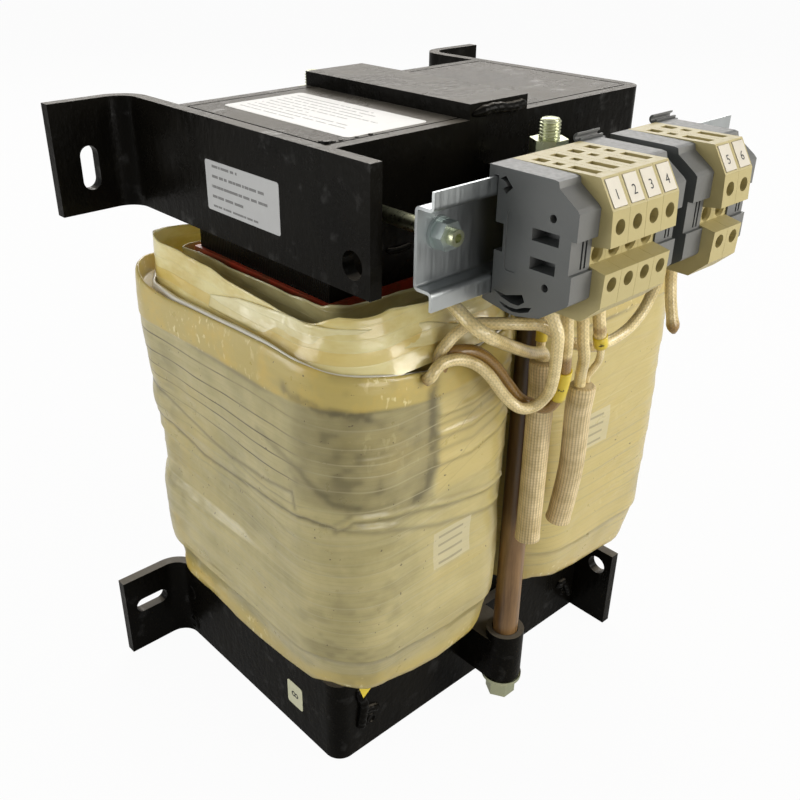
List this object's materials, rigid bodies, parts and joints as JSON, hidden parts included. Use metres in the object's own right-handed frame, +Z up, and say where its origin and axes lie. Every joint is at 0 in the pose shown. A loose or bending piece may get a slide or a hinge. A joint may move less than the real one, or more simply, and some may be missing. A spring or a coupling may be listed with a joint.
{
  "type": "control transformer",
  "caption": "Open-frame transformer with two wrapped coils on a core between two slotted steel frames, with clamp terminals on a rail at the front.",
  "frame": {"origin": "middle of the core's footprint, on the plane that the core and the bottom frame stand on", "axes": "+X along the terminal rail towards the larger free end of the rail, -Y towards the terminals, +Z up"},
  "size_m": [0.2166, 0.1874, 0.255],
  "materials": {
    "core_varnish": "black varnish, glossy",
    "frame_paint": "black varnish over flat steel, glossy",
    "winding_wrap": "cream insulating tape under clear varnish",
    "former_board": "dark red pressboard",
    "insulating_film": "amber and white polyester film",
    "fibre_tube": "brown varnished fibre",
    "yellow_zinc": "yellow passivated zinc",
    "rail_zinc": "bright zinc plate",
    "plain_zinc": "zinc plate",
    "bracket_grey": "dark and light grey moulding",
    "terminal_beige": "beige moulding, satin",
    "tag_white": "white printed tags",
    "lead_sleeving": "varnished woven sleeving",
    "braid": "braided glass sleeve, cream"
  },
  "bodies": {
    "root": {"core_lower": "core_varnish", "core_top_yoke": "core_varnish", "top_free_bar": "frame_paint", "top_bent_bar": "frame_paint", "top_front_plate": "frame_paint", "top_back_plate": "frame_paint", "bottom_free_bar": "frame_paint", "bottom_bent_bar": "frame_paint", "bottom_front_plate": "frame_paint", "bottom_back_plate": "frame_paint", "yoke_strap": "frame_paint", "coil_left": "winding_wrap", "coil_right": "winding_wrap", "former_left": "former_board", "former_right": "former_board", "outer_collar_left": "insulating_film", "outer_collar_right": "insulating_film", "inner_collar_left": "insulating_film", "inner_collar_right": "insulating_film", "top_rod_bosses": "frame_paint", "bottom_rod_bosses": "frame_paint", "tie_rods": "yellow_zinc", "rod_tubes": "fibre_tube", "top_rod_nuts": "yellow_zinc", "bottom_rod_nuts": "yellow_zinc", "top_rod_washers": "yellow_zinc", "bottom_rod_washers": "yellow_zinc", "top_spring_washers": "yellow_zinc", "bottom_spring_washers": "yellow_zinc", "rail": "rail_zinc", "rail_spacer_rods": "yellow_zinc", "rail_washers": "plain_zinc", "rail_nuts": "plain_zinc", "end_bracket_1": "bracket_grey", "terminal_1": "terminal_beige", "terminal_2": "terminal_beige", "terminal_3": "terminal_beige", "terminal_4": "terminal_beige", "end_bracket_2": "bracket_grey", "end_bracket_3": "bracket_grey", "terminal_5": "terminal_beige", "terminal_6": "terminal_beige", "end_bracket_4": "bracket_grey", "number_tags": "tag_white", "clamp_screws": "plain_zinc", "lead_1": "lead_sleeving", "lead_2": "lead_sleeving", "lead_3": "lead_sleeving", "lead_4": "lead_sleeving", "lead_5": "lead_sleeving", "lead_6": "lead_sleeving", "lead_7": "lead_sleeving", "braided_sleeve_1": "braid", "braided_sleeve_2": "braid"}
  },
  "joints": []
}
